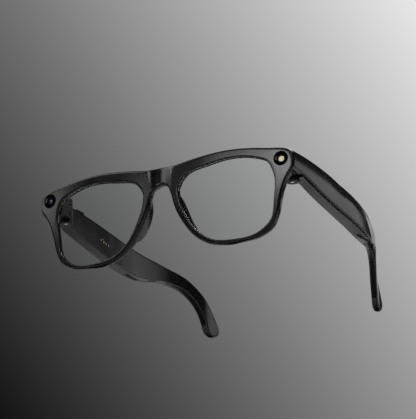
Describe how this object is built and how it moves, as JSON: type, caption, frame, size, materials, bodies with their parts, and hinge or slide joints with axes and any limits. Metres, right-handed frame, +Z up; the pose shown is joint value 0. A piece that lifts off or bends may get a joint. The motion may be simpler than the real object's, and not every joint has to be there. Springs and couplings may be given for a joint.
{
  "type": "smart glasses",
  "caption": "Eyeglasses with a camera and a capture light in the front corners, clear lenses and folding temples that hold electronics.",
  "frame": {"origin": "under the middle of the glasses, on the surface that the rims and the temple tips stand on", "axes": "+X to the wearer's left, +Y from the front back along the temples, +Z up"},
  "size_m": [0.1492, 0.164, 0.0495],
  "materials": {
    "frame_plastic": "satin black, moulded",
    "cover_plastic": "satin black, moulded",
    "inner_plastic": "fine matt black",
    "control_plastic": "matt black",
    "dark_ring": "dark polished ring",
    "clear_lens": "clear, polished, anti-reflective",
    "black_glass": "black cover glass with a clear centre",
    "lens_barrel": "dark coated optics",
    "light_phosphor": "pale yellow phosphor",
    "circuit_board": "solder mask",
    "copper_film": "flexible circuit film",
    "battery_foil": "pouch foil",
    "speaker_body": "matt dark grey",
    "hinge_metal": "black coated",
    "steel": "bright",
    "metal_mesh": "fine black mesh",
    "gold_plate": "gold plated",
    "soft_rubber": "matt black"
  },
  "bodies": {
    "front": {"front_frame": "frame_plastic", "brow_cover": "frame_plastic", "left_lens": "clear_lens", "right_lens": "clear_lens", "left_nose_pad": "frame_plastic", "right_nose_pad": "frame_plastic", "left_hinge_block": "inner_plastic", "right_hinge_block": "inner_plastic", "left_hinge_pin": "steel", "right_hinge_pin": "steel", "camera_ring": "dark_ring", "camera_glass": "black_glass", "camera_barrel": "lens_barrel", "camera_board": "circuit_board", "light_ring": "dark_ring", "light_glass": "black_glass", "light_emitter": "light_phosphor", "light_board": "circuit_board", "front_flex": "copper_film", "nose_microphone": "metal_mesh"},
    "left_temple": {"left_outer_cover": "cover_plastic", "left_inner_cover": "inner_plastic", "left_hinge_arm": "hinge_metal", "left_hinge_screws": "steel", "left_battery": "battery_foil", "left_speaker": "speaker_body", "left_speaker_grille": "soft_rubber", "left_tip_core": "steel", "left_tip_strip": "soft_rubber", "left_flex": "copper_film", "left_touch_board": "circuit_board"},
    "right_temple": {"right_outer_cover": "cover_plastic", "right_inner_cover": "inner_plastic", "right_hinge_arm": "hinge_metal", "right_hinge_screws": "steel", "right_battery": "battery_foil", "right_speaker": "speaker_body", "right_speaker_grille": "soft_rubber", "right_tip_core": "steel", "right_tip_strip": "soft_rubber", "right_flex": "copper_film", "right_main_board": "circuit_board", "right_microphone": "metal_mesh", "charge_contacts": "gold_plate", "contact_block": "control_plastic", "button_switch": "steel"},
    "capture_button": {"capture_button": "control_plastic"},
    "power_switch": {"power_switch": "control_plastic"}
  },
  "joints": [
    {"name": "left_fold", "type": "hinge", "parent": "front", "child": "left_temple", "pos_m": [0.0657, -0.0632, 0.0384], "axis": [0, 0, 1], "range_deg": [0, 87]},
    {"name": "right_fold", "type": "hinge", "parent": "front", "child": "right_temple", "pos_m": [-0.0657, -0.0632, 0.0384], "axis": [0, 0, -1], "range_deg": [0, 78]},
    {"name": "capture_press", "type": "slide", "parent": "right_temple", "child": "capture_button", "axis": [0, 0, -1], "range_m": [0, 0.0004], "stiffness_N_per_m": 600, "springref_m": -0.0005},
    {"name": "power_slide", "type": "slide", "parent": "left_temple", "child": "power_switch", "axis": [0, 1, 0], "range_m": [0, 0.002]}
  ]
}
